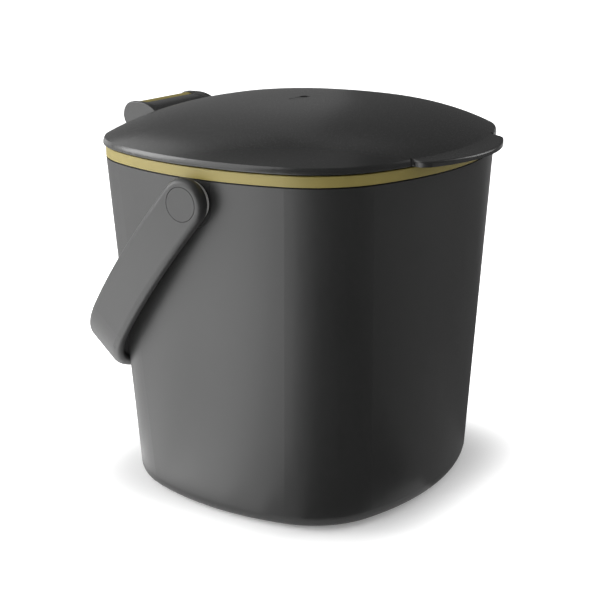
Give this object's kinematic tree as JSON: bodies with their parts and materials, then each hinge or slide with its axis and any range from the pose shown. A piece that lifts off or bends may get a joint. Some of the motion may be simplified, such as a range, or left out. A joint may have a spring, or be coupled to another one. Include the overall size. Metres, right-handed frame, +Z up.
{
  "type": "trash can",
  "caption": "Countertop food-scrap caddy: tapered rounded-square bucket, olive rim collar, domed lid hinged at the back with a front thumb tab, and a swinging bail handle",
  "frame": {"origin": "on the ground, in the middle of the four feet", "axes": "+Z up, -Y towards the front with the thumb tab, +Y towards the lid hinge, +X to the right seen from the front"},
  "size_m": [0.184, 0.1805, 0.1736],
  "materials": {
    "bucket_plastic": "fine matt moulded charcoal plastic",
    "lid_plastic": "satin moulded charcoal plastic",
    "handle_plastic": "fine matt moulded charcoal plastic",
    "olive_plastic": "satin olive-gold plastic",
    "liner_plastic": "plain moulded charcoal plastic",
    "seal_rubber": "soft dark grey elastomer",
    "foot_rubber": "soft dark elastomer",
    "bush_plastic": "natural acetal",
    "pin_steel": "ground stainless steel",
    "screw_steel": "plain stainless steel",
    "washer_steel": "plain stainless steel"
  },
  "bodies": {
    "root": {"bucket": "bucket_plastic", "rim_collar": "olive_plastic", "pivot_insert_left": "bucket_plastic", "pivot_insert_right": "bucket_plastic", "pivot_screw_left": "screw_steel", "pivot_screw_right": "screw_steel", "pivot_washer_left": "washer_steel", "pivot_washer_right": "washer_steel", "base_foot_front_left": "foot_rubber", "base_foot_front_right": "foot_rubber", "base_foot_back_left": "foot_rubber", "base_foot_back_right": "foot_rubber"},
    "lid": {"lid_shell": "lid_plastic", "lid_inner_plate": "liner_plastic", "lid_seal": "seal_rubber", "hinge_pin": "pin_steel", "hinge_pin_plug": "lid_plastic"},
    "handle": {"handle": "handle_plastic", "handle_bush_left": "bush_plastic", "handle_bush_right": "bush_plastic", "hub_cap_left": "handle_plastic", "hub_cap_right": "handle_plastic"}
  },
  "joints": [
    {"name": "lid_hinge", "type": "hinge", "parent": "root", "child": "lid", "pos_m": [0, 0.0804, 0.162], "axis": [-1, 0, 0], "range_deg": [0, 105]},
    {"name": "handle_swing", "type": "hinge", "parent": "root", "child": "handle", "pos_m": [0, 0, 0.1422], "axis": [1, 0, 0], "range_deg": [0, 275]}
  ]
}
